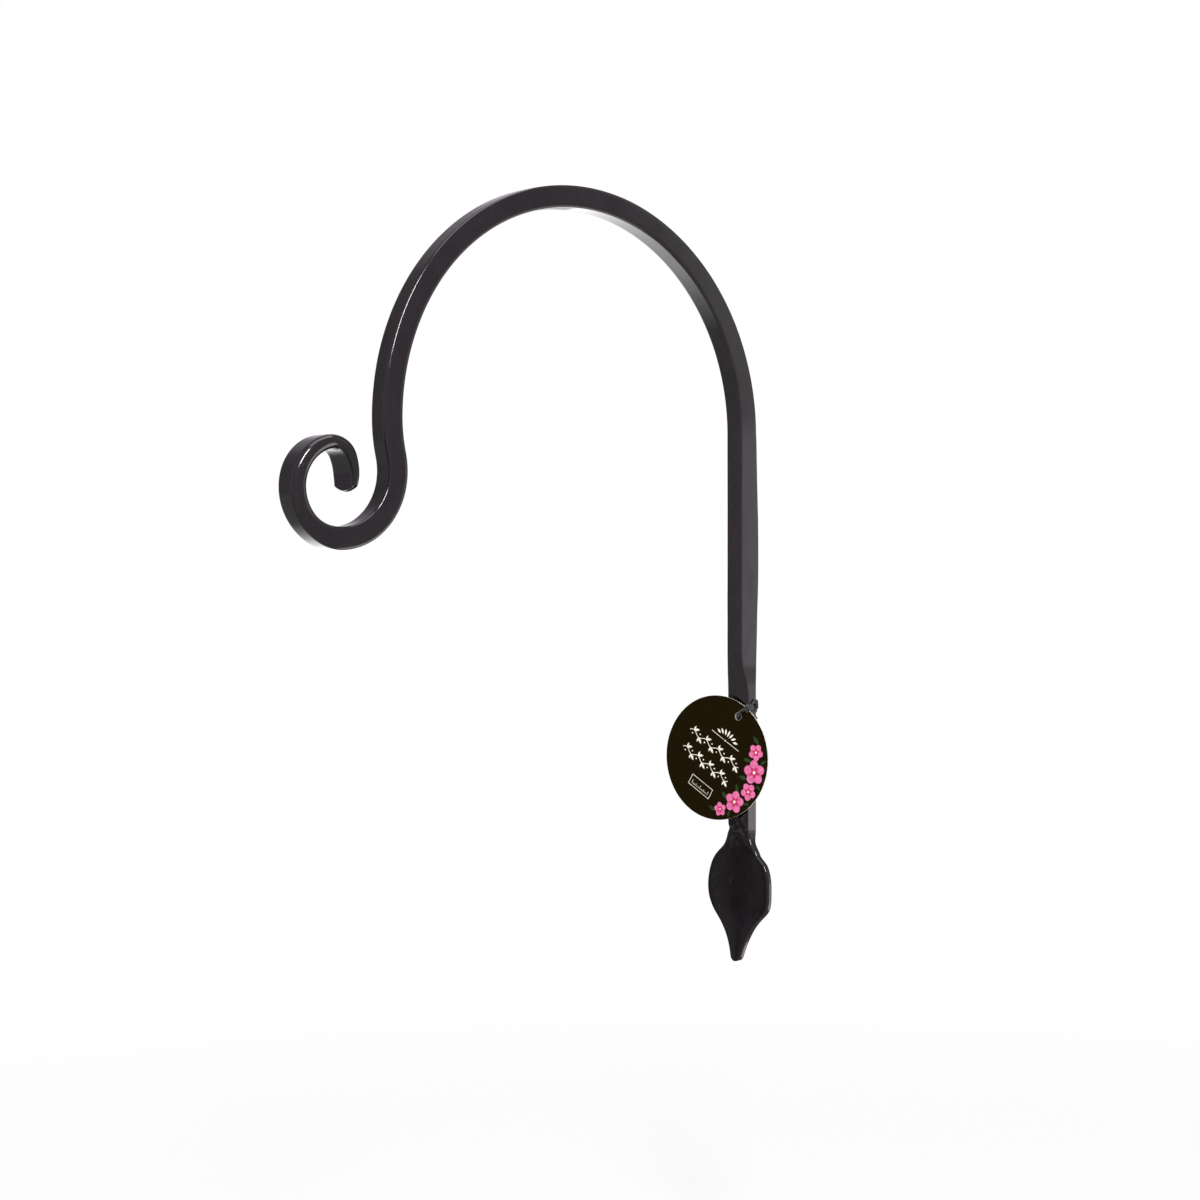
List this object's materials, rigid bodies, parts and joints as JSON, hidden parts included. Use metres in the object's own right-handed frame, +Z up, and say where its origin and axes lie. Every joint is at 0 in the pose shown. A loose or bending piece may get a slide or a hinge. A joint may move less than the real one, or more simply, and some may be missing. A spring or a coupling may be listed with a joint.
{
  "type": "hanging basket bracket",
  "caption": "Wrought iron hanging basket bracket: square bar arched into a scrolled hook, with a flat screw pad, a leaf finial and a round card tag.",
  "frame": {"origin": "on the back face of the screw pad, on the bar's middle plane, midway between the two screw holes", "axes": "+X out of the pad's back, into the wall; -X towards the hook; +Y across the bar; +Z up"},
  "size_m": [0.3002, 0.0687, 0.4105],
  "materials": {
    "black_paint": "gloss black paint over hammered iron",
    "tag_card": "printed card, satin, with pale cut edges",
    "tie_cord": "black twisted cord"
  },
  "bodies": {
    "root": {"hanger_bar": "black_paint", "tag": "tag_card", "tag_tie": "tie_cord"}
  },
  "joints": []
}
